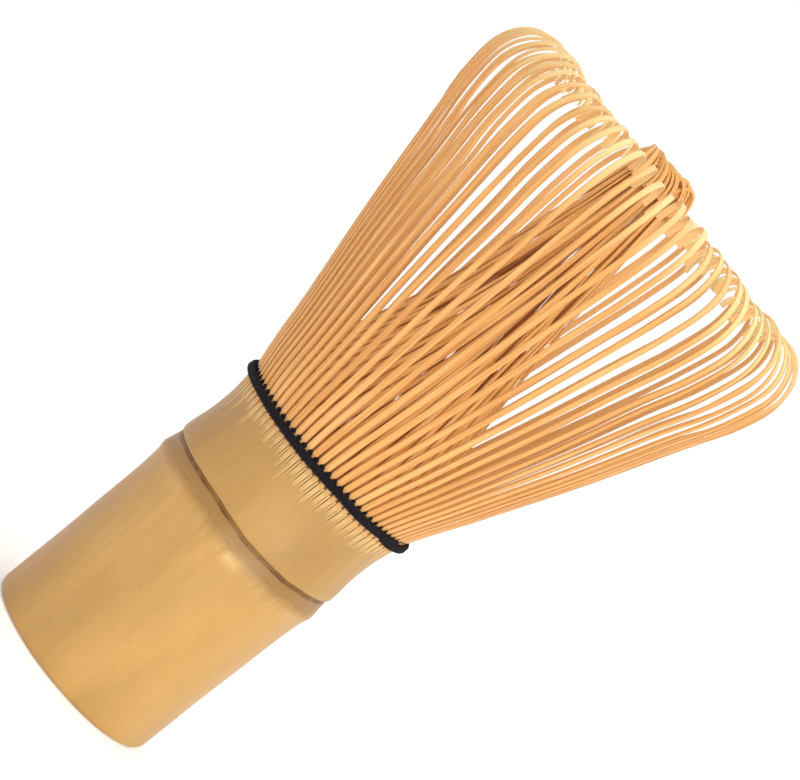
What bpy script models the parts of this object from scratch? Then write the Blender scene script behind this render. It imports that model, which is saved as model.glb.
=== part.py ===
"""Bamboo tea whisk: one bamboo culm, split at its upper end into eighty outer and eighty inner tines, with a
cotton thread wound and woven through the roots of the tines. It stands on its handle, with +Z towards the tines
and the origin in the middle of the handle's foot. Lengths are metres.

The tines are made in groups of five that stand on one uncut root. Each outer group turns on a hinge at its root,
which stands in for the bending of the tines, and the inner groups sway together as one bundle.
"""

import math

import bmesh
import bpy
from mathutils import Vector

MM = 0.001

# Handle
HANDLE_STEPS = 48
HANDLE_RADIUS = 14.9 * MM
FOOT_ROUND = 0.9 * MM
BORE_RADIUS = 12.0 * MM
BORE_TOP = 29.0 * MM
DIAPHRAGM = 2.4 * MM
RIDGE_HEIGHT = 29.8 * MM
RIDGE_RADIUS = 15.65 * MM
SCAR_HEIGHT = 32.5 * MM
SCAR_RADIUS = 15.1 * MM
COLLAR_RADIUS = 15.45 * MM
COLLAR_WAIST = 0.4 * MM
COLLAR_BORE = 12.6 * MM
HANDLE_TOP = 44.6 * MM

# Tines
GROUPS = 16
TINES_IN_GROUP = 5
PITCH = 2 * math.pi / (GROUPS * TINES_IN_GROUP)
GAP = 0.3 * MM
TINE_THICKNESS = 0.45 * MM

# Outer tines: the path of their outer face, from the root through the flare and round the crown
OUTER_ROOT_RADIUS = 15.45 * MM
OUTER_ROOT_TOP = 46.4 * MM
OUTER_ROOT_SLOPE = 0.40
OUTER_ROOT_WIDTH = 0.92 * MM
OUTER_TIP_WIDTH = 0.6 * MM
FLARE_END_SLOPE = 0.27
CROWN_CENTRE = (25.6 * MM, 97.7 * MM)
CROWN_RADII = (5.55 * MM, 6.7 * MM)
CROWN_START = math.radians(-18)
CROWN_END = math.radians(150)
FLARE_ROWS = 4
CROWN_ROWS = 9
HINGE_RADIUS = 15.2 * MM
HINGE_HEIGHT = 45.9 * MM

# Inner tines: they lean together into a bundle and curl over at its top
INNER_ROOT_RADIUS = 13.6 * MM
INNER_ROOT_FOOT = 45.5 * MM
INNER_ROOT_TOP = 47.0 * MM
INNER_ROOT_SLOPE = -0.24
BUNDLE_NECK = (4.4 * MM, 104.0 * MM)
BUNDLE_NECK_SLOPE = -0.13
BUNDLE_TOP = (2.6 * MM, 107.0 * MM)
LEAN_ROWS = 6
SPLIT_ROWS = 3
TINE_SHARE = 0.68

# Thread
THREAD_RADIUS = 0.45 * MM
BINDING_RADIUS = 16.15 * MM
BINDING_HEIGHTS = (45.35 * MM, 46.2 * MM)
BINDING_STEPS = 48
WEAVE_RADIUS = 14.27 * MM
WEAVE_THICKNESS = 0.36 * MM
WEAVE_HEIGHT = 46.6 * MM


def clear_scene():
    for obj in list(bpy.data.objects):
        bpy.data.objects.remove(obj, do_unlink=True)


def new_collection(name):
    collection = bpy.data.collections.new(name)
    bpy.context.scene.collection.children.link(collection)
    return collection


def make_material(name, colour, roughness):
    material = bpy.data.materials.new(name)
    material.use_nodes = True
    shader = material.node_tree.nodes["Principled BSDF"]
    shader.inputs["Base Color"].default_value = (*colour, 1.0)
    shader.inputs["Roughness"].default_value = roughness
    shader.inputs["Metallic"].default_value = 0.0
    return material


def add_object(name, mesh, collection, material):
    obj = bpy.data.objects.new(name, mesh)
    collection.objects.link(obj)
    mesh.materials.append(material)
    mesh.shade_smooth()
    mesh.set_sharp_from_angle(angle=math.radians(40))
    return obj


def turned(name, profile, steps, collection, material, closed=False):
    """A solid of revolution about Z. The profile holds (radius, height) and runs down its outer side."""
    mesh = bpy.data.meshes.new(name)
    edges = [(i, i + 1) for i in range(len(profile) - 1)]
    if closed:
        edges.append((len(profile) - 1, 0))
    mesh.from_pydata([(r, 0.0, z) for r, z in profile], edges, [])
    obj = add_object(name, mesh, collection, material)
    screw = obj.modifiers.new("turn", "SCREW")
    screw.axis = "Z"
    screw.steps = steps
    screw.render_steps = steps
    screw.use_merge_vertices = True
    screw.merge_threshold = 0.00001
    screw.use_smooth_shade = True
    return obj


def arc(centre, radii, start, end, count):
    """Points (radius, height) on an elliptical arc, from the angle start to the angle end."""
    angles = [start + (end - start) * i / count for i in range(count + 1)]
    return [(centre[0] + radii[0] * math.cos(a), centre[1] + radii[1] * math.sin(a)) for a in angles]


def sweep_between(low, high, low_slope, high_slope, count):
    """Points of a cubic radius over height, with the given slopes at its ends."""
    height = high[1] - low[1]
    points = []
    for i in range(count + 1):
        t = i / count
        radius = low[0] * (2 * t**3 - 3 * t**2 + 1)
        radius += high[0] * (3 * t**2 - 2 * t**3)
        radius += low_slope * height * (t**3 - 2 * t**2 + t)
        radius += high_slope * height * (t**3 - t**2)
        points.append((radius, low[1] + t * height))
    return points


def handle_profile():
    """The culm in section: diaphragm, collar, node ridge and scar, handle, rounded foot and open bore."""
    diaphragm_top = BORE_TOP + DIAPHRAGM
    collar = [
        (0.0, diaphragm_top - 0.5 * MM),
        (COLLAR_BORE - 2.5 * MM, diaphragm_top),
        (COLLAR_BORE, diaphragm_top + 2.5 * MM),
        (COLLAR_BORE, HANDLE_TOP),
        (COLLAR_RADIUS, HANDLE_TOP),
        (COLLAR_RADIUS - 0.8 * COLLAR_WAIST, HANDLE_TOP - 3 * MM),
        (COLLAR_RADIUS - COLLAR_WAIST, HANDLE_TOP - 6 * MM),
    ]
    node = [
        (SCAR_RADIUS + 0.3 * MM, SCAR_HEIGHT + 1.4 * MM),
        (SCAR_RADIUS + 0.4 * MM, SCAR_HEIGHT + 0.35 * MM),
        (SCAR_RADIUS, SCAR_HEIGHT),
        (SCAR_RADIUS + 0.3 * MM, SCAR_HEIGHT - 0.5 * MM),
        (RIDGE_RADIUS - 0.1 * MM, RIDGE_HEIGHT + 0.9 * MM),
        (RIDGE_RADIUS, RIDGE_HEIGHT),
        (RIDGE_RADIUS - 0.35 * MM, RIDGE_HEIGHT - 1.2 * MM),
        (HANDLE_RADIUS + 0.25 * MM, RIDGE_HEIGHT - 5 * MM),
        (HANDLE_RADIUS, RIDGE_HEIGHT / 2),
    ]
    foot_centre = (HANDLE_RADIUS - FOOT_ROUND, FOOT_ROUND)
    foot = arc(foot_centre, (FOOT_ROUND, FOOT_ROUND), 0.0, -math.pi / 2, 3)
    bore = [
        (BORE_RADIUS + 0.3 * MM, 0.0),
        (BORE_RADIUS, 0.3 * MM),
        (BORE_RADIUS, BORE_TOP - 1.5 * MM),
        (BORE_RADIUS - 2.0 * MM, BORE_TOP),
        (0.0, BORE_TOP + 0.3 * MM),
    ]
    return collar + node + foot + bore


def outer_path():
    flare_end = arc(CROWN_CENTRE, CROWN_RADII, CROWN_START, CROWN_START, 1)[0]
    root = (OUTER_ROOT_RADIUS, OUTER_ROOT_TOP)
    flare = sweep_between(root, flare_end, OUTER_ROOT_SLOPE, FLARE_END_SLOPE, FLARE_ROWS)
    crown = arc(CROWN_CENTRE, CROWN_RADII, CROWN_START, CROWN_END, CROWN_ROWS)
    return [(OUTER_ROOT_RADIUS, HANDLE_TOP + GAP), *flare, *crown[1:]]


def inner_path():
    root = (INNER_ROOT_RADIUS, INNER_ROOT_TOP)
    lean = sweep_between(root, BUNDLE_NECK, INNER_ROOT_SLOPE, BUNDLE_NECK_SLOPE, LEAN_ROWS)
    return [(INNER_ROOT_RADIUS, INNER_ROOT_FOOT), *lean, BUNDLE_TOP]


def comb_mesh(name, path, split_rows, place):
    """A sheet of tines on one root. Tines and the slots between them alternate across it, and place says
    where the point of a column and a row goes. The rows above the first, up to split_rows, lose their slots.
    """
    columns = 2 * TINES_IN_GROUP - 1
    rows = len(path) - 1
    sheet = bmesh.new()
    bmesh.ops.create_grid(sheet, x_segments=columns, y_segments=rows, size=0.5)
    slots = []
    for face in sheet.faces:
        middle = face.calc_center_median()
        column = int((middle.x + 0.5) * columns)
        row = int((middle.y + 0.5) * rows)
        if column % 2 and 1 <= row < split_rows:
            slots.append(face)
    bmesh.ops.delete(sheet, geom=slots, context="FACES")
    for vert in sheet.verts:
        column = round((vert.co.x + 0.5) * columns)
        row = round((vert.co.y + 0.5) * rows)
        vert.co = place(column, row)
    sheet.faces.ensure_lookup_table()
    sheet.normal_update()
    if sheet.faces[0].normal.x < 0:
        bmesh.ops.reverse_faces(sheet, faces=sheet.faces[:])
    mesh = bpy.data.meshes.new(name)
    sheet.to_mesh(mesh)
    sheet.free()
    return mesh


def place_outer(column, row):
    """Points of an outer group whose middle faces +X, with its hinge axis at the origin."""
    path = outer_path()
    radius, height = path[row]
    tine, side = divmod(column, 2)
    share = max(row - 1, 0) / (len(path) - 2)
    width = OUTER_ROOT_WIDTH + (OUTER_TIP_WIDTH - OUTER_ROOT_WIDTH) * share
    angle = (tine - (TINES_IN_GROUP - 1) / 2) * PITCH
    across = (side - 0.5) * width
    x = radius * math.cos(angle) - across * math.sin(angle)
    y = radius * math.sin(angle) + across * math.cos(angle)
    return Vector((x - HINGE_RADIUS, y, height - HINGE_HEIGHT))


def place_inner(column, row):
    """Points of an inner group whose middle faces +X. Its width keeps a gap to the groups beside it."""
    radius, height = inner_path()[row]
    half_width = (radius - TINE_THICKNESS) * math.tan(math.pi / GROUPS) - GAP / 2
    tine, side = divmod(column, 2)
    tine_width = 2 * half_width / (TINES_IN_GROUP - 1 + TINE_SHARE)
    across = -half_width + tine * tine_width + side * tine_width * TINE_SHARE
    return Vector((radius, across, height))


def add_comb(name, mesh, collection, material, location, turn):
    obj = add_object(name, mesh, collection, material)
    obj.location = location
    obj.rotation_euler.z = turn
    thickness = obj.modifiers.new("thickness", "SOLIDIFY")
    thickness.thickness = TINE_THICKNESS
    thickness.offset = -1.0
    return obj


def add_outer_tines(collection, material):
    rows = len(outer_path()) - 1
    for group in range(GROUPS):
        name = f"outer_tines_{group + 1:02d}"
        mesh = comb_mesh(name, outer_path(), rows, place_outer)
        turn = 2 * math.pi * group / GROUPS
        hinge = Vector((HINGE_RADIUS * math.cos(turn), HINGE_RADIUS * math.sin(turn), HINGE_HEIGHT))
        add_comb(name, mesh, collection, material, hinge, turn)


def add_inner_tines(collection, material):
    pivot = bpy.data.objects.new("inner_bundle_axis", None)
    collection.objects.link(pivot)
    for group in range(GROUPS):
        name = f"inner_tines_{group + 1:02d}"
        mesh = comb_mesh(name, inner_path(), 1 + SPLIT_ROWS, place_inner)
        obj = add_comb(name, mesh, collection, material, Vector(), 2 * math.pi * group / GROUPS)
        obj.parent = pivot


def add_thread(collection, material):
    """Two rounds of thread side by side outside the outer tines, and one between outer and inner tines."""
    lower, upper = BINDING_HEIGHTS
    radii = (THREAD_RADIUS, THREAD_RADIUS)
    top = arc((BINDING_RADIUS, upper), radii, math.radians(180), math.radians(-30), 5)
    bottom = arc((BINDING_RADIUS, lower), radii, math.radians(30), math.radians(-180), 5)
    turned("thread_binding", top + bottom, BINDING_STEPS, collection, material, closed=True)
    radii = (WEAVE_THICKNESS, WEAVE_THICKNESS)
    ring = arc((WEAVE_RADIUS, WEAVE_HEIGHT), radii, math.pi, math.radians(-120), 5)
    turned("thread_weave", ring, BINDING_STEPS, collection, material, closed=True)


def main():
    clear_scene()
    whisk = new_collection("bamboo_tea_whisk")
    culm = make_material("culm_skin", (0.69, 0.43, 0.15), 0.45)
    outer = make_material("outer_tine_bamboo", (0.85, 0.45, 0.16), 0.5)
    inner = make_material("inner_tine_bamboo", (0.78, 0.38, 0.12), 0.55)
    thread = make_material("black_cotton_thread", (0.017, 0.014, 0.018), 0.9)
    turned("handle_culm", handle_profile(), HANDLE_STEPS, whisk, culm)
    add_outer_tines(whisk, outer)
    add_inner_tines(whisk, inner)
    add_thread(whisk, thread)


main()
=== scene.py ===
"""Bamboo tea whisk, finished for the eye: a dried bamboo culm whose wall is split into shaved tines, bound
and woven with black cotton thread. Lengths are metres. +Z runs from the handle's foot to the tines' tips.
Angles named in capitals as plain numbers are degrees.
"""

import math
import random

import bpy
import numpy as np
from mathutils import Matrix, Vector, noise


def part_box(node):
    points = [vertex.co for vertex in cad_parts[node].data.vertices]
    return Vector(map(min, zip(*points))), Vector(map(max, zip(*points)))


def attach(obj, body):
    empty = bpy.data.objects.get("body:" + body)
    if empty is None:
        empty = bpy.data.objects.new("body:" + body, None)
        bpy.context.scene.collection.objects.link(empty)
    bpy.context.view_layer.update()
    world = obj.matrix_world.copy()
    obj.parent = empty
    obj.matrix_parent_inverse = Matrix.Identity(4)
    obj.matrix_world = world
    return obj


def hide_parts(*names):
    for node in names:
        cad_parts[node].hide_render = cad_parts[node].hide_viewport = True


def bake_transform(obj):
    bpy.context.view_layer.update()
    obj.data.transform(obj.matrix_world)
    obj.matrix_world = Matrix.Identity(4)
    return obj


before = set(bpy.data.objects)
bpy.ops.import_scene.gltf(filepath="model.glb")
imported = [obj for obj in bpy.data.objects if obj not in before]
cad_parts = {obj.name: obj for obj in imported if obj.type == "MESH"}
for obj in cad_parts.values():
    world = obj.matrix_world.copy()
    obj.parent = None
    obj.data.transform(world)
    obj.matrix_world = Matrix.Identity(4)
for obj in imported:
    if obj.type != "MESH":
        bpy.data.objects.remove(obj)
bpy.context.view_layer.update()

MM = 0.001
SEED = 11

# Studio
CAMERA_PLACE = (0.0, -0.3968, 0.1007)
CAMERA_AIM = (-0.0009, 0.0, 0.0589)
CAMERA_ROLL = 51.2
LAMP_AIM = (0.0, 0.0, 0.06)

# Taken from the frame
GROUPS = sum(name.startswith("outer_tines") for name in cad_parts)
COLLAR_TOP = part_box("handle_culm")[1][2]
NODE_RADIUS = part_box("handle_culm")[1][0]
BINDING_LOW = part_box("thread_binding")[0][2]
BINDING_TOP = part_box("thread_binding")[1][2]
BINDING_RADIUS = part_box("thread_binding")[1][0]
CROWN_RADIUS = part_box("outer_tines_01")[1][0]
CROWN_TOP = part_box("outer_tines_01")[1][2]
BUNDLE_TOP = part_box("inner_tines_01")[1][2]

# Culm
HANDLE_RADIUS = NODE_RADIUS - 0.75 * MM
RIDGE_HEIGHT = 29.8 * MM
SCAR_HEIGHT = 32.5 * MM
COLLAR_RADIUS = NODE_RADIUS - 0.2 * MM
BORE_RADIUS = 12.0 * MM
DIAPHRAGM_LOW = 29.0 * MM
DIAPHRAGM_TOP = 31.4 * MM
HUB_RADIUS = 1.0 * MM
RIDGE_HIGHLIGHT_SIDE = 280
SHADED_FLANK_SIDE = 185

# Tines
TINES_IN_GROUP = 5
TINES = GROUPS * TINES_IN_GROUP
PITCH = 2 * math.pi / TINES
OUTER_STRIP = 0.8 * MM
SLIT_HALF_WIDTH = 0.09 * MM
SLIT_DEPTH = 0.3 * MM
TINE_EDGE = 0.16
PAINTED_EDGE_SHADE = 0.45
CROWN_WIDE = 5.5 * MM
CROWN_TALL = 6.7 * MM
HOOK_RADIUS = 2.4 * MM
HOOK_END = 208
BUNDLE_TURN = 22
BUNDLE_SWIRL = -62
BUNDLE_SHIFT = -1.1 * MM
LEAN = 0.028
OUTER_ROWS = 44
INNER_ROWS = 44

# Thread
THREAD_RADIUS = 0.45 * MM
PLY_RADIUS = 0.29 * MM
PLY_TWIST = 1.3 * MM
WEAVE_RADIUS = 0.37 * MM


# ---------------------------------------------------------------- studio


def placed_towards(place, aim):
    """The matrix of a camera or lamp that stands at the place and looks at the aim."""
    turn = (Vector(aim) - Vector(place)).to_track_quat("-Z", "Y").to_matrix().to_4x4()
    return Matrix.Translation(place) @ turn


def add_camera():
    """A long lens a little above the crown, rolled so that the whisk lies across the picture."""
    camera = bpy.data.objects.new("camera", bpy.data.cameras.new("camera"))
    bpy.context.collection.objects.link(camera)
    camera.data.lens = 133.0
    camera.data.sensor_width = 36.0
    camera.data.clip_start = 0.01
    roll = Matrix.Rotation(math.radians(CAMERA_ROLL), 4, "Z")
    camera.matrix_world = placed_towards(CAMERA_PLACE, CAMERA_AIM) @ roll
    bpy.context.scene.camera = camera


def add_light(name, place, aim, size, power, colour):
    """A soft square lamp of that size, turned towards the aim."""
    lamp = bpy.data.lights.new(name, "AREA")
    lamp.size = size
    lamp.energy = power
    lamp.color = colour
    obj = bpy.data.objects.new(name, lamp)
    bpy.context.collection.objects.link(obj)
    obj.matrix_world = placed_towards(place, aim)


def deselect_all():
    for obj in bpy.context.selected_objects:
        obj.select_set(False)


def select_only(*objects):
    deselect_all()
    for obj in objects:
        obj.select_set(True)
    bpy.context.view_layer.objects.active = objects[0]


def add_studio(material):
    """A white floor that sweeps up all round into a wall, so that no horizon shows from any side."""
    deselect_all()
    floor_radius = 1.0
    bpy.ops.mesh.primitive_circle_add(vertices=96, radius=floor_radius, fill_type="NGON", location=(0, 0, 0))
    floor = bpy.context.object
    floor.name = "studio_floor"
    bpy.ops.object.mode_set(mode="EDIT")
    bpy.ops.mesh.select_mode(type="EDGE")
    bpy.ops.mesh.select_all(action="SELECT")
    bpy.ops.mesh.region_to_loop()
    sweep = 0.5
    steps = 8
    radius = floor_radius
    for step in range(1, steps + 1):
        angle = math.pi / 2 * step / steps
        wider = floor_radius + sweep * math.sin(angle)
        rise = sweep * (math.cos(angle - math.pi / 2 / steps) - math.cos(angle))
        bpy.ops.mesh.extrude_edges_move(TRANSFORM_OT_translate={"value": (0, 0, rise)})
        bpy.ops.transform.resize(value=(wider / radius, wider / radius, 1), center_override=(0, 0, 0))
        radius = wider
    wall_height = 0.8
    bpy.ops.mesh.extrude_edges_move(TRANSFORM_OT_translate={"value": (0, 0, wall_height)})
    bpy.ops.object.mode_set(mode="OBJECT")
    floor.data.shade_smooth()
    floor.data.materials.append(material)


def add_world(colour, strength):
    world = bpy.data.worlds.new("studio")
    world.use_nodes = True
    sky = world.node_tree.nodes["Background"]
    sky.inputs["Color"].default_value = (*colour, 1.0)
    sky.inputs["Strength"].default_value = strength
    bpy.context.scene.world = world


# ---------------------------------------------------------------- materials


def linear(code):
    """The linear colour of an sRGB hex code."""
    values = [int(code[i : i + 2], 16) / 255 for i in (1, 3, 5)]
    return (*[v / 12.92 if v <= 0.04045 else ((v + 0.055) / 1.055) ** 2.4 for v in values], 1.0)


def add_node(tree, kind, inputs=None, stops=None, **settings):
    """A node with its settings, its input values or links, and the stops of its colour ramp."""
    node = tree.nodes.new(kind)
    for name, value in settings.items():
        setattr(node, name, value)
    for socket, value in (inputs or {}).items():
        if isinstance(value, bpy.types.NodeSocket):
            tree.links.new(value, node.inputs[socket])
        else:
            node.inputs[socket].default_value = value
    if stops:
        ramp = node.color_ramp.elements
        while len(ramp) < len(stops):
            ramp.new(1.0)
        for element, (place, colour) in zip(ramp, stops):
            element.position = place
            element.color = linear(colour) if isinstance(colour, str) else (colour, colour, colour, 1.0)
    return node


def new_material(name, roughness, **sockets):
    material = bpy.data.materials.new(name)
    material.use_nodes = True
    shader = material.node_tree.nodes["Principled BSDF"]
    shader.inputs["Roughness"].default_value = roughness
    for socket, value in sockets.items():
        shader.inputs[socket.replace("_", " ")].default_value = value
    return material, material.node_tree, shader


def object_place(tree):
    return add_node(tree, "ShaderNodeTexCoord").outputs["Object"]


def stretched(tree, vector, scale):
    """The vector multiplied by that many pattern cells to the metre in each direction."""
    return add_node(tree, "ShaderNodeMapping", {"Vector": vector, "Scale": scale}).outputs[0]


def noise_pattern(tree, vector, detail, scale=1.0):
    return add_node(
        tree, "ShaderNodeTexNoise", {"Vector": vector, "Scale": scale, "Detail": detail}
    ).outputs["Fac"]


def cell_distance(tree, vector):
    return add_node(tree, "ShaderNodeTexVoronoi", {"Vector": vector, "Scale": 1.0}).outputs["Distance"]


def colour_ramp(tree, value, stops):
    return add_node(tree, "ShaderNodeValToRGB", {"Fac": value}, stops=stops).outputs[0]


def from_range(tree, value, low, high, to_low=0.0, to_high=1.0, **settings):
    """The value moved from the range low..high to the range to_low..to_high, and held at its ends."""
    limits = {"From Min": low, "From Max": high, "To Min": to_low, "To Max": to_high}
    return add_node(tree, "ShaderNodeMapRange", {"Value": value, **limits}, **settings).outputs[0]


def calculated(tree, operation, a, b):
    return add_node(tree, "ShaderNodeMath", {0: a, 1: b}, operation=operation).outputs[0]


def tinted(tree, factor, colour, tint, blend_type="MIX"):
    """The colour, turned by that factor towards a tint, which is a hex code or another colour."""
    tint = linear(tint) if isinstance(tint, str) else tint
    inputs = {"Factor": factor, "A": colour, "B": tint}
    return add_node(tree, "ShaderNodeMix", inputs, data_type="RGBA", blend_type=blend_type).outputs["Result"]


def mesh_facts(tree, name):
    """The three values that the mesh holds at each point under that name."""
    vector = add_node(tree, "ShaderNodeAttribute", attribute_name=name).outputs["Vector"]
    return add_node(tree, "ShaderNodeSeparateXYZ", {"Vector": vector}).outputs


def roughen(tree, shader, height, strength, distance):
    """Fine relief, of that distance at full strength."""
    bump = add_node(tree, "ShaderNodeBump", {"Height": height, "Strength": strength, "Distance": distance})
    tree.links.new(bump.outputs[0], shader.inputs["Normal"])


def culm_skin():
    """Dried madake culm, scraped and sun-bleached: a satin golden tan with long fibres just under the skin,
    faint green-gold clouds, dark pin specks, a brown double scar line at the node, and pale raw wood at the
    slits. Painted shade darkens the slits' bottoms and one side, and a painted highlight pales the ridge's
    front.
    """
    material, tree, shader = new_material("dried_bamboo_culm_skin", 0.42, IOR=1.5)
    place = object_place(tree)
    # Fibres are about 1 mm wide and tens of millimetres long, so the pattern is stretched along Z.
    fibre = noise_pattern(tree, stretched(tree, place, (900, 900, 22)), 3.0)
    cloud = noise_pattern(tree, stretched(tree, place, (130, 130, 45)), 4.0)
    colour = colour_ramp(
        tree, cloud, [(0.28, "#AE8546"), (0.46, "#B78C4B"), (0.58, "#BD914D"), (0.76, "#C49858")]
    )
    streak = colour_ramp(tree, fibre, [(0.30, "#F3EBDC"), (0.55, "#FFFFFF")])
    colour = tinted(tree, 0.55, colour, streak, "MULTIPLY")
    # The lightest and the darkest places are marked on the mesh, because they follow the knife, the node and
    # the lamps: the dark slit bottoms and the browner side are painted shade, and the ridge's pale front is
    # partly a painted highlight.
    tone_and_painted_shade = mesh_facts(tree, "tone_and_painted_shade")
    colour = tinted(tree, tone_and_painted_shade["X"], colour, "#86612D")
    # Painted shade: the side turned away from the key lamp is browner.
    colour = tinted(tree, tone_and_painted_shade["Y"], colour, "#8A5A26")
    marks_and_painted_light = mesh_facts(tree, "marks_and_painted_light")
    # Pale raw wood at the slits and the scraped ridge, with a painted highlight on the ridge's front.
    colour = tinted(tree, marks_and_painted_light["Y"], colour, "#D9B276")
    wear = noise_pattern(tree, stretched(tree, place, (700, 700, 300)), 2.0)
    # The X channel carries the node's scar lines and the painted shade along the slit bottoms.
    scar = calculated(tree, "MULTIPLY", marks_and_painted_light["X"], from_range(tree, wear, 0.35, 0.6, 0.35, 1.0))
    colour = tinted(tree, scar, colour, "#5A2E16")
    # Pin specks, about 0.3 mm across and a few to the square centimetre.
    cells = cell_distance(tree, stretched(tree, place, (330, 330, 260)))
    colour = tinted(tree, from_range(tree, cells, 0.06, 0.02, 0.0, 0.55), colour, "#7A5428")
    tree.links.new(colour, shader.inputs["Base Color"])
    tree.links.new(from_range(tree, fibre, 0.0, 1.0, 0.36, 0.52), shader.inputs["Roughness"])
    roughen(tree, shader, fibre, 0.25, 0.05 * MM)
    return material


def cut_bamboo():
    """Sawn and bored bamboo inside the culm: paler and duller than the skin, with dark fibre ends."""
    material, tree, shader = new_material("sawn_bamboo_end_grain", 0.7)
    # Fibre bundles are about 0.6 mm across.
    cells = cell_distance(tree, stretched(tree, object_place(tree), (1700, 1700, 60)))
    dots = colour_ramp(tree, cells, [(0.12, "#A97F4B"), (0.34, "#E3C595")])
    tree.links.new(dots, shader.inputs["Base Color"])
    roughen(tree, shader, cells, 0.3, 0.05 * MM)
    return material


def tine_bamboo(name, colours, root_colour, tip_colour, edge_shade_colour, back_light_colour, tip_start):
    """Split and shaved bamboo. Fine fibres run along each tine, and its tone differs from its neighbours'.
    Its root still carries the culm's skin, its edges are darker than its face with painted shade, its back is
    paler with painted light that lifts the shade it lies in, and it pales where it is shaved thin at the tip.
    """
    material, tree, shader = new_material(name, 0.5, IOR=1.5)
    grain = add_node(tree, "ShaderNodeAttribute", attribute_name="grain").outputs["Vector"]
    # Fibres 0.1 mm wide would blur at this size, so they are drawn 0.2 mm wide.
    fibre = noise_pattern(tree, stretched(tree, grain, (5000, 3000, 90)), 2.0)
    cloud = noise_pattern(tree, stretched(tree, grain, (300, 300, 60)), 2.0)
    facts = mesh_facts(tree, "facts")
    tone, reach, side = facts["X"], facts["Y"], facts["Z"]
    mean_tone = calculated(tree, "MULTIPLY", calculated(tree, "ADD", tone, cloud), 0.5)
    colour = colour_ramp(tree, mean_tone, [(0.25, colours[0]), (0.5, colours[1]), (0.75, colours[2])])
    streak = colour_ramp(tree, fibre, [(0.32, "#E3CDB4"), (0.6, "#FFFFFF")])
    colour = tinted(tree, 0.9, colour, streak, "MULTIPLY")
    colour = tinted(tree, from_range(tree, reach, 0.05, 0.025, 0.0, 0.85), colour, root_colour)
    near_tip = from_range(tree, reach, tip_start, 0.93, interpolation_type="SMOOTHSTEP")
    patchy = from_range(tree, cloud, 0.32, 0.55, 0.45, 1.0)
    colour = tinted(tree, calculated(tree, "MULTIPLY", near_tip, patchy), colour, tip_colour)
    # Painted shade: the tine's edges are darkened as the shade between neighbouring tines.
    colour = tinted(tree, from_range(tree, side, 0.0, 1.0), colour, edge_shade_colour)
    # Painted light: the tine's back is paled to lift the shade it lies in.
    colour = tinted(tree, from_range(tree, side, 0.0, -1.0, 0.0, 0.75), colour, back_light_colour)
    tree.links.new(colour, shader.inputs["Base Color"])
    tree.links.new(from_range(tree, fibre, 0.0, 1.0, 0.42, 0.62), shader.inputs["Roughness"])
    roughen(tree, shader, fibre, 0.3, 0.04 * MM)
    return material


def cotton_thread():
    """Black mercerised cotton: nearly matt, faintly brown-violet in the light, with fine fuzz on each ply."""
    material, tree, shader = new_material(
        "black_twisted_cotton", 0.9, Sheen_Weight=0.03, Specular_IOR_Level=0.15
    )
    fuzz = noise_pattern(tree, object_place(tree), 3.0, scale=5000.0)
    shade = colour_ramp(tree, fuzz, [(0.35, "#100D11"), (0.7, "#1F1A1F")])
    tree.links.new(shade, shader.inputs["Base Color"])
    roughen(tree, shader, fuzz, 0.5, 0.03 * MM)
    return material


def studio_paper():
    """White background paper: matt, with the faintest tooth, and lit a little from within to stay white."""
    material, tree, shader = new_material("white_background_paper", 0.9, Emission_Strength=0.2)
    tooth = noise_pattern(tree, object_place(tree), 2.0, scale=900.0)
    shade = colour_ramp(tree, tooth, [(0.3, "#F7F7F6"), (0.7, "#FBFBFA")])
    tree.links.new(shade, shader.inputs["Base Color"])
    return material


# ---------------------------------------------------------------- shared shapes


def smoothstep(low, high, value):
    t = np.clip((value - low) / (high - low), 0.0, 1.0)
    return t * t * (3 - 2 * t)


def spline(points, steps=12):
    """A smooth curve through the points, one row each, with that many steps between two of them."""
    p = np.asarray(points, float)
    p = np.vstack([2 * p[0] - p[1], p, 2 * p[-1] - p[-2]])
    t = np.linspace(0, 1, steps, endpoint=False)[:, None]
    spans = []
    for a, b, c, d in zip(p, p[1:], p[2:], p[3:]):
        spans.append(
            0.5 * (2 * b + (c - a) * t + (2 * a - 5 * b + 4 * c - d) * t**2 + (3 * b - a - 3 * c + d) * t**3)
        )
    return np.vstack(spans + [p[-2]])


def lengths_along(curve):
    """The length of the curve up to each of its points."""
    return np.concatenate([[0.0], np.cumsum(np.linalg.norm(np.diff(curve, axis=0), axis=1))])


def spread(curve, places):
    """The curve read at those places, which are lengths along it from 0 to 1."""
    lengths = lengths_along(curve)
    lengths /= lengths[-1]
    return np.stack([np.interp(places, lengths, curve[:, i]) for i in range(curve.shape[1])], axis=1)


def ring(radius, angle, height):
    """Points at those radii, angles and heights."""
    return np.stack([radius * np.cos(angle), radius * np.sin(angle), height], axis=1)


def tangents(angle):
    """The level directions square to those angles."""
    return np.stack([-np.sin(angle), np.cos(angle), np.zeros_like(angle)], axis=1)


def eased(curve, width):
    """The curve with its corners rounded off over that length, its ends kept."""
    steps = 240
    even = spread(curve, np.linspace(0, 1, steps))
    length = np.linalg.norm(np.diff(even, axis=0), axis=1).sum()
    half = max(1, round(width / length * steps / 2))
    window = np.hanning(2 * half + 3)[1:-1]
    window /= window.sum()
    padded = np.pad(even, ((half, half), (0, 0)), mode="reflect", reflect_type="odd")
    return np.stack([np.convolve(padded[:, i], window, mode="valid") for i in range(curve.shape[1])], axis=1)


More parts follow.
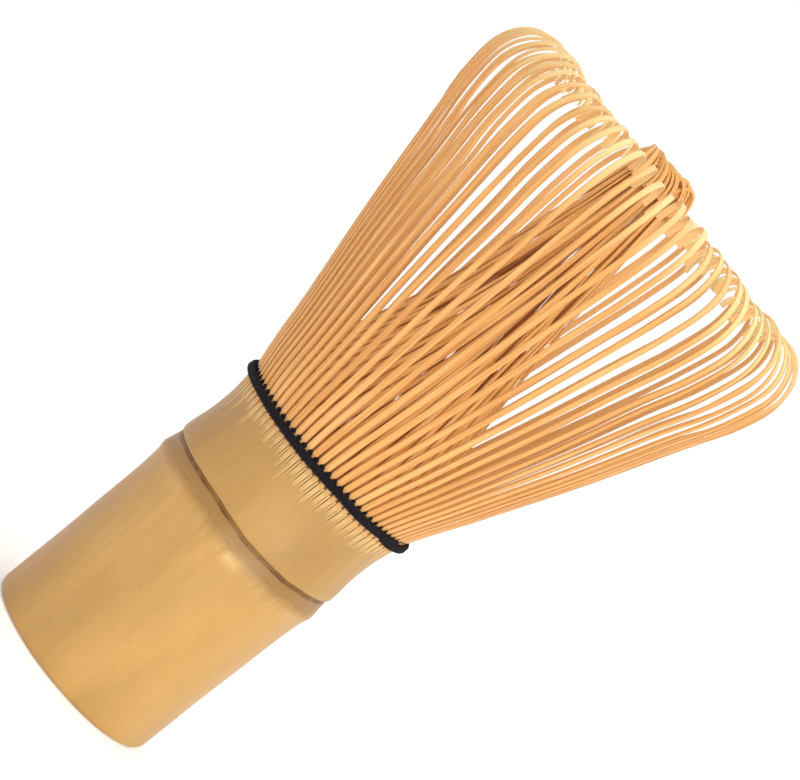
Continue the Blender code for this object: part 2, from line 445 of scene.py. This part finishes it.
def bar_blank(name, rows):
    """A straight bar with eased edges, one unit wide and deep, with a row at each unit of its height."""
    deselect_all()
    bpy.ops.mesh.primitive_plane_add(size=1.0, location=(0, 0, 0))
    blank = bpy.context.object
    blank.name = name
    bpy.ops.object.mode_set(mode="EDIT")
    bpy.ops.mesh.bevel(affect="VERTICES", offset=TINE_EDGE, segments=1)
    bpy.ops.mesh.select_all(action="SELECT")
    for _ in range(rows):
        bpy.ops.mesh.extrude_region_move(TRANSFORM_OT_translate={"value": (0, 0, 1)})
    bpy.ops.mesh.select_all(action="SELECT")
    bpy.ops.mesh.normals_make_consistent(inside=False)
    bpy.ops.object.mode_set(mode="OBJECT")
    return blank


def read_points(mesh):
    points = np.empty(len(mesh.vertices) * 3)
    mesh.vertices.foreach_get("co", points)
    return points.reshape(-1, 3)


def write_vectors(mesh, name, values):
    layer = mesh.attributes.new(name, "FLOAT_VECTOR", "POINT")
    layer.data.foreach_set("vector", np.asarray(values, np.float32).ravel())


def bent_bar(blank, name, centre, across, width, depth, number, tone):
    """A copy of the blank laid along the centre line. across is the direction of its width at each row. Its
    attributes tell its material the place in the grain, its tone, its reach and its side, which is above 0 on
    the edges of its face, where shade is painted, and -1 on its back, where light is painted.
    """
    mesh = blank.data.copy()
    points = read_points(mesh)
    row = np.round(points[:, 2]).astype(int)
    run = np.gradient(centre, axis=0)
    run /= np.linalg.norm(run, axis=1)[:, None]
    across = across - (across * run).sum(1)[:, None] * run
    across /= np.linalg.norm(across, axis=1)[:, None]
    outward = np.cross(across, run)
    length = lengths_along(centre)
    x, y = points[:, 0], points[:, 1]
    shaped = centre[row] + (x * width[row])[:, None] * across[row] + (y * depth[row])[:, None] * outward[row]
    mesh.vertices.foreach_set("co", shaped.ravel())
    grain = np.stack([x * width[row] + number * 7 * MM, y * depth[row], length[row]], axis=1)
    write_vectors(mesh, "grain", grain)
    # side carries painted shade on the face's edges and painted light on the back.
    edge = PAINTED_EDGE_SHADE * np.clip(np.abs(x) * 8 - 3, 0, 1)
    side = np.where(y < 0, 2 * y, edge)
    reach = length[row] / length[-1]
    write_vectors(mesh, "facts", np.stack([np.full(len(x), tone), reach, side], axis=1))
    obj = bpy.data.objects.new(name, mesh)
    bpy.context.collection.objects.link(obj)
    return obj


def joined(name, objects, material):
    select_only(*objects)
    bpy.ops.object.join()
    obj = bpy.context.object
    obj.name = name
    obj.data.name = name
    obj.data.materials.clear()
    obj.data.materials.append(material)
    bpy.ops.object.shade_smooth_by_angle(angle=math.radians(35))
    return obj


# ---------------------------------------------------------------- tines


def outer_line(chance):
    """Radius and height of an outer tine's middle, from the collar through the flare and round the crown."""
    reach = CROWN_RADIUS - 0.2 * MM + chance.uniform(-0.3, 0.3) * MM
    top = CROWN_TOP - 0.3 * MM + chance.uniform(-0.55, 0.25) * MM
    wide = CROWN_WIDE + chance.uniform(-0.3, 0.3) * MM
    tall = CROWN_TALL + chance.uniform(-0.4, 0.4) * MM
    middle = reach - wide
    flare = [
        (15.2 * MM, COLLAR_TOP - 0.6 * MM),
        (15.3 * MM, BINDING_TOP - 0.5 * MM),
        (15.95 * MM, BINDING_TOP + 0.7 * MM),
        (19.7 * MM, 58.7 * MM),
        (23.8 * MM, 71.0 * MM),
        (27.4 * MM + chance.uniform(-0.2, 0.2) * MM, 83.3 * MM),
        (middle + 0.75 * wide, 89.8 * MM),
    ]
    crown = []
    for angle in np.radians(np.linspace(-18, 75, 6)):
        crown.append((middle + wide * math.cos(angle), top - tall + tall * math.sin(angle)))
    hook = HOOK_RADIUS + chance.uniform(-0.35, 0.3) * MM
    end = HOOK_END + chance.uniform(-26, 24)
    for angle in np.radians(np.linspace(100, end, 6)):
        crown.append((middle + 1.3 * hook * math.cos(angle), top - hook + hook * math.sin(angle)))
    return eased(spline(flare + crown), 6 * MM)


def outer_tine(blank, number, chance):
    """One outer tine, with its own small errors of splitting, shaving and curling."""
    # Half of the rows are kept for the crown, which bends most.
    half = OUTER_ROWS // 2
    places = np.concatenate([np.linspace(0, 0.70, half), np.linspace(0.73, 1, half + 1)])
    line = spread(outer_line(chance), places)
    height = line[:, 1]
    angle = (number - (TINES_IN_GROUP - 1) / 2) * PITCH
    drift = chance.uniform(-0.22, 0.22) * MM * smoothstep(50 * MM, 95 * MM, height)
    curl = smoothstep(0.84, 1.0, places)
    drift = drift + chance.uniform(-0.9, 0.9) * MM * curl
    turn = angle + drift / line[:, 0]
    centre = ring(line[:, 0], turn, height)
    # The crown leans a little to one side, as the splitting of a real culm always does.
    lean = LEAN * smoothstep(BINDING_TOP, BINDING_TOP + 10 * MM, height)
    centre[:, 2] -= lean * centre[:, 0]
    centre[:, 0] += lean * (height - BINDING_TOP)
    twist = math.radians(chance.uniform(-8, 8)) * smoothstep(0.1, 0.8, places)
    twist = twist + math.radians(chance.uniform(-32, 32)) * curl
    across = tangents(turn + twist)
    width = np.interp(places, [0, 0.04, 0.08, 0.2, 0.5, 0.78, 0.9, 0.97, 1],
                      [0.8, 0.95, 0.97, 0.92, 0.85, 0.8, 0.9, 0.96, 0.8]) * MM
    depth = np.interp(places, [0, 0.1, 0.5, 0.8, 1], [0.5, 0.5, 0.42, 0.32, 0.22]) * MM
    width = width * (1 + chance.uniform(-0.06, 0.06))
    tone = chance.uniform(0.2, 0.8)
    return bent_bar(blank, f"outer_{number}", centre, across, width, depth, number, tone)


def inner_tine(blank, number, chance):
    """One inner tine. It leans in with its neighbours, turns slowly round the bundle and curls over it."""
    layer = chance.choice((0.0, 0.45, 0.9)) + chance.uniform(0.0, 0.1)
    snug = 1 - 0.42 * layer
    lean = [
        (13.75 * MM, COLLAR_TOP + 0.6 * MM),
        (13.6 * MM, 47.6 * MM),
        (11.9 * MM, 58 * MM),
        (9.1 * MM * (1 - 0.1 * layer), 70 * MM),
        (7.3 * MM * (1 - 0.25 * layer), 81 * MM),
        (5.8 * MM * snug, 92 * MM),
        (4.3 * MM * snug, 102.2 * MM),
    ]
    line = spread(spline(lean), np.linspace(0, 1, INNER_ROWS // 2 + 6))
    radius, height = line[:, 0], line[:, 1]
    share = smoothstep(48 * MM, 100 * MM, height)
    angle = (number + 0.5 - (TINES_IN_GROUP - 1) / 2) * PITCH
    turn = angle + math.radians(BUNDLE_TURN + chance.uniform(-3.4, 3.4)) * share
    offset = BUNDLE_SHIFT * smoothstep(60 * MM, 104 * MM, height)
    centre = ring(radius, turn, height)
    centre[:, 0] += offset
    swirl = math.radians(BUNDLE_SWIRL + chance.uniform(-10, 10))
    facing = turn + swirl * smoothstep(88 * MM, 102 * MM, height)
    # The curl is an arc towards the side that the tine faces away from, lying over the top of the bundle.
    last = facing[-1]
    round_radius = (1.1 + 1.6 * (1 - layer) + chance.uniform(-0.12, 0.12)) * MM
    tall = BUNDLE_TOP + 0.1 * MM - height[-1] - 2.2 * MM * layer + chance.uniform(-0.2, 0.1) * MM
    apex = radius[-1] * np.array([math.cos(turn[-1]), math.sin(turn[-1])])
    apex = apex - round_radius * np.array([math.cos(last), math.sin(last)])
    # The top of the bundle is a dome, lower by a millimetre at 4 mm from its middle.
    tall -= 60.0 * float(apex @ apex)
    bends = np.linspace(0, math.radians(190 + chance.uniform(-25, 15)), INNER_ROWS + 1 - len(line) + 1)[1:]
    side = round_radius * (1 - np.cos(bends))
    curl = np.stack(
        [
            centre[-1, 0] - side * math.cos(last),
            centre[-1, 1] - side * math.sin(last),
            centre[-1, 2] + tall * np.sin(bends),
        ],
        axis=1,
    )
    centre = np.vstack([centre, curl])
    share_all = np.concatenate([smoothstep(60 * MM, 104 * MM, height), np.ones(len(curl))])
    facing = np.concatenate([facing, np.full(len(curl), last)])
    across = tangents(facing)
    places = np.linspace(0, 1, len(centre))
    room = PITCH * np.hypot(centre[:, 0] - offset[-1] * share_all, centre[:, 1])
    width = np.interp(places, [0, 0.12, 0.3, 0.6, 0.75, 1], [0.84, 0.82, 0.88, 1.1, 1.7, 2.3]) * room
    width = np.minimum(width, np.interp(places, [0, 0.6, 0.8, 1], [0.9, 0.7, 0.92, 0.98]) * MM)
    width = np.maximum(width, 0.5 * MM)
    depth = np.interp(places, [0, 0.3, 0.6, 0.75, 1], [0.5, 0.42, 0.34, 0.4, 0.36]) * MM
    return bent_bar(blank, f"inner_{number}", centre, across, width, depth, number, chance.random())


def add_tines(kind, rows, make, material):
    """The tines of one layer, five to a piece, each piece standing for the CAD node of its group.
    """
    blank = bar_blank(f"{kind}_blank", rows)
    for group in range(GROUPS):
        label = f"{group + 1:02d}"
        chance = random.Random(f"{SEED} {kind} {group}")
        first = group * TINES_IN_GROUP
        bars = [make(blank, first + place, chance) for place in range(TINES_IN_GROUP)]
        piece = joined(f"{kind}_{label}_shaved", bars, material)
        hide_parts(f"{kind}_{label}")
        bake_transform(piece)
    bpy.data.objects.remove(blank)


# ---------------------------------------------------------------- culm


def culm_profile():
    """Rows of (radius, height, part) from the middle of the diaphragm's underside, down the bore, round the
    foot, up the skin, over the collar's rim and down to the middle of the diaphragm's top.
    """
    foot_round = 1.0 * MM
    rows = [(HUB_RADIUS, DIAPHRAGM_LOW + 0.3 * MM, "bore"), (6.0 * MM, DIAPHRAGM_LOW + 0.2 * MM, "bore")]
    for angle in (math.pi / 2 * step / 3 for step in range(4)):
        inward = 2 * MM * (1 - math.sin(angle))
        rows.append((BORE_RADIUS - inward, DIAPHRAGM_LOW - 1.5 * MM * (1 - math.cos(angle)), "bore"))
    for height in (24, 18, 12, 6, 2, 0.6):
        rows.append((BORE_RADIUS, height * MM, "bore"))
    rows.append((BORE_RADIUS + 0.25 * MM, 0.12 * MM, "foot"))
    rows.append((BORE_RADIUS + 0.5 * MM, 0.0, "foot"))
    rows.append((HANDLE_RADIUS - foot_round - 0.4 * MM, 0.0, "foot"))
    for angle in (math.pi / 2 * step / 5 for step in range(6)):
        inward = foot_round * (1 - math.sin(angle))
        rows.append((HANDLE_RADIUS - inward, foot_round * (1 - math.cos(angle)), "skin"))
    skin = [
        (HANDLE_RADIUS, 4 * MM),
        (HANDLE_RADIUS + 0.05 * MM, 12 * MM),
        (HANDLE_RADIUS + 0.12 * MM, 19 * MM),
        (HANDLE_RADIUS + 0.25 * MM, 25 * MM),
        (NODE_RADIUS - 0.32 * MM, 28.2 * MM),
        (NODE_RADIUS - 0.08 * MM, RIDGE_HEIGHT - 0.5 * MM),
        (NODE_RADIUS - 0.02 * MM, RIDGE_HEIGHT),
        (NODE_RADIUS - 0.16 * MM, RIDGE_HEIGHT + 0.7 * MM),
        (NODE_RADIUS - 0.36 * MM, SCAR_HEIGHT - 0.9 * MM),
        (NODE_RADIUS - 0.44 * MM, SCAR_HEIGHT - 0.35 * MM),
    ]
    for radius, height in spline(skin, 5):
        rows.append((radius, height, "skin"))
    # The scar is two grooves with a thin lip between them.
    grooves = ((0.56, -0.2), (0.62, -0.08), (0.46, 0.04), (0.5, 0.14), (0.6, 0.24), (0.4, 0.36))
    for depth, height in grooves:
        rows.append((NODE_RADIUS - depth * MM, SCAR_HEIGHT + height * MM, "skin"))
    collar = [
        (COLLAR_RADIUS - 0.05 * MM, SCAR_HEIGHT + 0.6 * MM),
        (COLLAR_RADIUS - 0.06 * MM, 34.2 * MM),
        (COLLAR_RADIUS - 0.34 * MM, 36.8 * MM),
        (COLLAR_RADIUS - 0.42 * MM, 39 * MM),
        (COLLAR_RADIUS - 0.32 * MM, 42 * MM),
        (COLLAR_RADIUS, COLLAR_TOP),
    ]
    for radius, height in spline(collar, 8):
        rows.append((radius, height, "skin"))
    inner_wall = COLLAR_RADIUS - 2.9 * MM
    rows.append((COLLAR_RADIUS - 0.3 * MM, COLLAR_TOP + 0.05 * MM, "bore"))
    rows.append((inner_wall + 0.2 * MM, COLLAR_TOP + 0.05 * MM, "bore"))
    rows.append((inner_wall, COLLAR_TOP - 0.3 * MM, "bore"))
    rows.append((inner_wall, 38 * MM, "bore"))
    rows.append((inner_wall, DIAPHRAGM_TOP + 2.5 * MM, "bore"))
    rows.append((inner_wall - 1.0 * MM, DIAPHRAGM_TOP + 0.5 * MM, "bore"))
    rows.append((inner_wall - 3.0 * MM, DIAPHRAGM_TOP, "bore"))
    rows.append((HUB_RADIUS, DIAPHRAGM_TOP - 0.4 * MM, "bore"))
    return rows


def slit_angles():
    """Three columns for each knife slit: its two lips and its bottom. Two slits to a pitch, because the wall
    is split into wider strips for the outer tines and narrower ones for the inner tines.
    """
    half_strip = OUTER_STRIP / 2 / COLLAR_RADIUS
    lip = SLIT_HALF_WIDTH / COLLAR_RADIUS
    angles = []
    for slit in (half_strip, PITCH - half_strip):
        angles += [slit - lip, slit, slit + lip]
    return angles


def lathe_blank(name, columns, rows):
    """An open tube of unit radius with a row at each unit of its height, both ends closed by a face."""
    deselect_all()
    bpy.ops.mesh.primitive_circle_add(vertices=columns, radius=1.0, fill_type="NGON", location=(0, 0, 0))
    blank = bpy.context.object
    blank.name = name
    bpy.ops.object.mode_set(mode="EDIT")
    bpy.ops.mesh.select_all(action="SELECT")
    for _ in range(rows):
        bpy.ops.mesh.extrude_region_move(TRANSFORM_OT_translate={"value": (0, 0, 1)})
    bpy.ops.mesh.select_all(action="SELECT")
    bpy.ops.mesh.normals_make_consistent(inside=False)
    bpy.ops.object.mode_set(mode="OBJECT")
    return blank


def slit_lengths(chance):
    """How far each slit runs down below the collar's top. A few were split further than the rest."""
    lengths = np.array([[chance.uniform(1.6, 3.4), chance.uniform(1.6, 3.4)] for _ in range(TINES)]) * MM
    for _ in range(TINES // 6):
        lengths[chance.randrange(TINES), chance.randrange(2)] += chance.uniform(0.8, 2.6) * MM
    return lengths


def wave_round(theta, count, seed):
    """A wave between about -1 and 1 that runs round the culm. A higher count makes it finer."""
    return np.array([noise.noise(Vector((count * math.cos(a), count * math.sin(a), seed))) for a in theta])


def hump(value, width):
    """1 where the value is 0, falling to almost nothing at twice the width on both sides."""
    return np.exp(-((value / width) ** 2))


def mark_culm(mesh, theta, height, is_skin, opened, middle, fine, ragged):
    """Tell the skin's material where the dark lines, the raw wood and the browner places are. The dark slit
    bottoms and the browner side are painted shade, and the pale front of the ridge is partly a painted
    highlight.
    """
    scar = hump(height - SCAR_HEIGHT + 0.12 * MM, 0.15 * MM)
    scar = scar + 0.8 * hump(height - SCAR_HEIGHT - 0.24 * MM, 0.12 * MM)
    crest = hump(height - RIDGE_HEIGHT - 0.9 * MM - 0.5 * MM * fine, 0.18 * MM)
    scar = scar + crest * np.clip(0.25 + 0.9 * ragged, 0, 0.45)
    # The bottoms of the knife slits are painted dark as the shade in the grooves; the scar lines are the
    # node's own colour.
    dark = np.clip(np.clip(scar, 0, 1) * is_skin + 0.85 * opened * middle, 0, 1)
    # The knife has scraped the ridge pale in places; it is palest at the front, facing the key lamp, where
    # the pale is a painted highlight.
    front = hump((theta - math.radians(RIDGE_HIGHLIGHT_SIDE)) * HANDLE_RADIUS, 1.6 * MM)
    scraped = hump(height - RIDGE_HEIGHT + 0.6 * MM, 0.9 * MM) * is_skin
    raw_wood_and_highlight = opened * ~middle * 0.8 + scraped * np.clip(0.75 * front + 0.5 * ragged + 0.15 * fine, 0, 0.8)
    nothing = np.zeros(len(theta))
    write_vectors(mesh, "marks_and_painted_light", np.stack([dark, raw_wood_and_highlight, nothing], axis=1))
    band = smoothstep(RIDGE_HEIGHT - 1.6 * MM, RIDGE_HEIGHT + 2.0 * MM, height)
    band = band * (1 - smoothstep(SCAR_HEIGHT, SCAR_HEIGHT + 0.6 * MM, height)) * is_skin
    collar = smoothstep(SCAR_HEIGHT, SCAR_HEIGHT + 0.5 * MM, height) * is_skin
    # A painted shade: the side turned away from the key lamp is browner.
    away = (theta - math.radians(SHADED_FLANK_SIDE) + math.pi) % (2 * math.pi) - math.pi
    shaded_flank = 0.5 * hump(away, math.radians(36)) * is_skin
    write_vectors(mesh, "tone_and_painted_shade", np.stack([0.78 * band + 0.28 * collar, shaded_flank, nothing], axis=1))


def add_culm(skin, cut):
    """The handle, node and collar, with the knife slits that run down from the tines into the collar."""
    profile = culm_profile()
    angles = np.array(slit_angles())
    columns = len(angles) * TINES
    culm = lathe_blank("culm_handle", columns, len(profile) - 1)
    mesh = culm.data
    points = read_points(mesh)
    row = np.round(points[:, 2]).astype(int)
    turned = np.arctan2(points[:, 1], points[:, 0]) / (2 * math.pi)
    tine, place = np.divmod(np.round(turned * columns).astype(int) % columns, len(angles))
    radius = np.array([p[0] for p in profile])[row]
    profile_height = np.array([p[1] for p in profile])[row]
    part = np.array([p[2] for p in profile])
    is_skin = (part == "skin")[row]
    # Each slit opens towards the collar's top.
    slit, column_of_slit = np.divmod(place, 3)
    reach = slit_lengths(random.Random(f"{SEED} culm"))[tine, slit]
    opened = np.clip((profile_height - COLLAR_TOP + reach) / reach, 0, 1) ** 0.6 * is_skin
    middle = column_of_slit == 1
    slit_middle = angles[slit * 3 + 1]
    narrow = np.where(opened > 0, 0.3 + 0.7 * opened, 1.0)
    theta = tine * PITCH + slit_middle + (angles[place] - slit_middle) * narrow
    # Slow waves make the culm a grown thing: slightly oval, with a node ring that wanders up and down.
    wave = wave_round(theta, 1.3, 4.0)
    fine = wave_round(theta, 5, 9.0)
    ragged = wave_round(theta, 22, 3.0)
    node_pull = hump(profile_height - SCAR_HEIGHT, 4 * MM) * is_skin
    height = profile_height + (0.7 * wave + 0.2 * fine + 0.07 * ragged) * MM * node_pull
    dents = np.array([noise.noise(Vector(point) / (7 * MM)) for point in ring(radius, theta, height)])
    radius = radius * (1 + 0.004 * np.cos(2 * theta + 0.7)) + 0.07 * MM * dents
    radius = radius + 0.10 * MM * fine * node_pull
    inner_strip = ((slit == 0) & (column_of_slit == 2)) | ((slit == 1) & (column_of_slit == 0))
    radius = radius - SLIT_DEPTH * opened * middle - 0.06 * MM * opened * inner_strip
    radius = radius + 0.07 * MM * opened * (~inner_strip & ~middle)
    radius = np.where(~is_skin & (radius < HUB_RADIUS * 1.2), HUB_RADIUS, radius)
    height = np.where(height < 0.02 * MM, 0.0, height)
    mesh.vertices.foreach_set("co", ring(radius, theta, height).ravel())
    mark_culm(mesh, theta, profile_height, is_skin, opened, middle, fine, ragged)
    mesh.update()
    mesh.materials.append(skin)
    mesh.materials.append(cut)
    for face in mesh.polygons:
        face.material_index = 0 if all(is_skin[v] for v in face.vertices) else 1
    select_only(culm)
    bpy.ops.object.shade_smooth_by_angle(angle=math.radians(50))
    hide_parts("handle_culm")
    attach(culm, "handle")


# ---------------------------------------------------------------- thread


def tube(name, points, radius, closed):
    """A round tube through the points, as a mesh at the origin."""
    curve = bpy.data.curves.new(name, "CURVE")
    curve.dimensions = "3D"
    curve.bevel_depth = radius
    curve.bevel_resolution = 2
    curve.use_fill_caps = not closed
    line = curve.splines.new("POLY")
    line.points.add(len(points) - 1)
    line.points.foreach_set("co", np.column_stack([points, np.ones(len(points))]).ravel())
    line.use_cyclic_u = closed
    obj = bpy.data.objects.new(name, curve)
    bpy.context.collection.objects.link(obj)
    select_only(obj)
    bpy.ops.object.convert(target="MESH")
    return bpy.context.object


def plied(name, centre, outward, upward):
    """Two plies twisted round the centre line of the thread."""
    length = lengths_along(centre)
    plies = []
    for ply in range(2):
        turn = (2 * math.pi * length / PLY_TWIST + math.pi * ply)[:, None]
        offset = (THREAD_RADIUS - PLY_RADIUS) * (np.cos(turn) * outward + np.sin(turn) * upward)
        plies.append(tube(f"{name}_ply_{ply}", centre + offset, PLY_RADIUS, False))
    return plies


def binding_tilt(angle):
    """The thread doesn't lie square to the culm: it is lowest at the front left."""
    return 0.35 * MM * np.sin(angle) + 0.25 * MM * np.cos(angle)


def add_binding(material):
    """The thread's two rounds outside the outer tines. It climbs as it winds, and both ends tuck in."""
    turns = 2.06
    steps = 1300
    start = math.radians(-38)
    angle = np.linspace(0, 2 * math.pi * turns, steps) + start
    share = np.linspace(0, 1, steps)
    tuck = 1.5 * MM * (smoothstep(0.012, 0.0, share) + smoothstep(0.988, 1.0, share))
    bump = np.array([noise.noise(Vector((3 * math.cos(a), 3 * math.sin(a), a / 6))) for a in angle])
    radius = BINDING_RADIUS - THREAD_RADIUS - tuck + 0.12 * MM * bump
    height = BINDING_LOW + THREAD_RADIUS + (BINDING_TOP - BINDING_LOW - 2 * THREAD_RADIUS) * share
    height = height + 0.14 * MM * wave_round(angle, 2, 7.0) + binding_tilt(angle)
    centre = ring(radius, angle, height)
    outward = ring(np.ones(steps), angle, np.zeros(steps))
    upward = np.tile([0.0, 0.0, 1.0], (steps, 1))
    piece = joined("thread_binding_rounds", plied("binding", centre, outward, upward), material)
    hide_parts("thread_binding")
    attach(piece, "handle")


def add_weave(material):
    """The round between the layers: it passes behind each outer tine and shows in the gaps beside it."""
    steps = TINES * 12
    angle = np.linspace(0, 2 * math.pi, steps, endpoint=False)
    tine = angle / PITCH * 2 * math.pi
    radius = 15.25 * MM - 0.5 * MM * np.cos(tine)
    height = BINDING_TOP + 0.05 * MM + 0.12 * MM * np.cos(tine / 2) + binding_tilt(angle)
    piece = tube("weave", ring(radius, angle, height), WEAVE_RADIUS, True)
    piece = joined("thread_weave_round", [piece], material)
    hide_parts("thread_weave")
    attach(piece, "handle")


# ---------------------------------------------------------------- the whisk


def main():
    bpy.context.scene.view_settings.view_transform = "Standard"
    add_camera()
    add_world((1.0, 1.0, 1.0), 0.43)
    add_light("key", (0.36, -0.6, 0.35), LAMP_AIM, 0.5, 3.45, (1.0, 0.98, 0.95))
    add_light("fill", (-0.6, -0.35, 0.3), LAMP_AIM, 0.6, 0.05, (0.97, 0.98, 1.0))
    add_light("top", (0.0, 0.1, 0.9), LAMP_AIM, 0.7, 3.3, (1.0, 1.0, 1.0))
    add_studio(studio_paper())
    add_culm(culm_skin(), cut_bamboo())
    outer = tine_bamboo(
        "shaved_bamboo_outer_tine", ("#CF954C", "#DBA159", "#E3AE69"), root_colour="#C69A5C",
        tip_colour="#ECD292", edge_shade_colour="#A2622A", back_light_colour="#EEBB7A", tip_start=0.72,
    )
    # The inner tines' colours are set a little lighter than the outer ones' as painted light, against the
    # shade the outer tines cast on the bundle.
    inner = tine_bamboo(
        "shaved_bamboo_inner_tine", ("#DFA256", "#EAB065", "#F2BD76"), root_colour="#D0A066",
        tip_colour="#E2AC66", edge_shade_colour="#8E501B", back_light_colour="#E6AB62", tip_start=0.74,
    )
    add_tines("outer_tines", OUTER_ROWS, outer_tine, outer)
    add_tines("inner_tines", INNER_ROWS, inner_tine, inner)
    thread = cotton_thread()
    add_binding(thread)
    add_weave(thread)


main()
